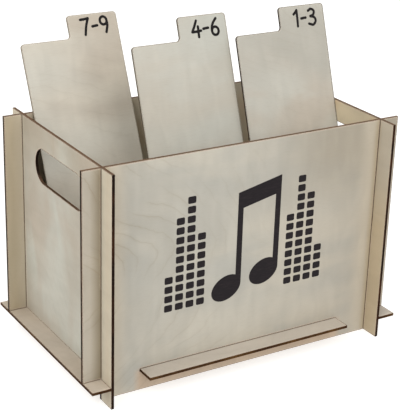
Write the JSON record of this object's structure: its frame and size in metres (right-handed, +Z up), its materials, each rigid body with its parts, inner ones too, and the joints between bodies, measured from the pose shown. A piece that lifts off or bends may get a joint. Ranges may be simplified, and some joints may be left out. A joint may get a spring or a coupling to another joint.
{
  "type": "record storage stand",
  "caption": "Slot-together plywood storage stand with raised floor, handle holes in the end panels and tabbed index dividers that tilt on their lower edges.",
  "frame": {"origin": "on the ground, below the middle of the stand's overall width and depth with its dividers leaning as stored", "axes": "+X to the right along the front wall, +Y to the back, +Z up"},
  "size_m": [0.378, 0.2448, 0.3518],
  "materials": {
    "wall_plywood": "raw sanded birch veneer, burnt edges",
    "floor_plywood": "raw sanded birch veneer, burnt edges",
    "divider_plywood": "raw sanded birch veneer, burnt edges"
  },
  "bodies": {
    "stand": {"front_wall": "wall_plywood", "back_wall": "wall_plywood", "left_end_panel": "wall_plywood", "right_end_panel": "wall_plywood", "floor_panel": "floor_plywood"},
    "front_board": {"front_divider": "divider_plywood"},
    "middle_board": {"middle_divider": "divider_plywood"},
    "rear_board": {"rear_divider": "divider_plywood"}
  },
  "joints": [
    {"name": "front_divider_tilt", "type": "hinge", "parent": "stand", "child": "front_board", "pos_m": [0.10585, -0.09269, 0.0242], "axis": [1, 0, 0], "range_deg": [0, 18.6]},
    {"name": "middle_divider_tilt", "type": "hinge", "parent": "stand", "child": "middle_board", "pos_m": [-0.01225, -0.08489, 0.0242], "axis": [1, 0, 0], "range_deg": [0, 19.9]},
    {"name": "rear_divider_tilt", "type": "hinge", "parent": "stand", "child": "rear_board", "pos_m": [-0.09725, -0.01939, 0.0242], "axis": [1, 0, 0], "range_deg": [0, 15]}
  ]
}
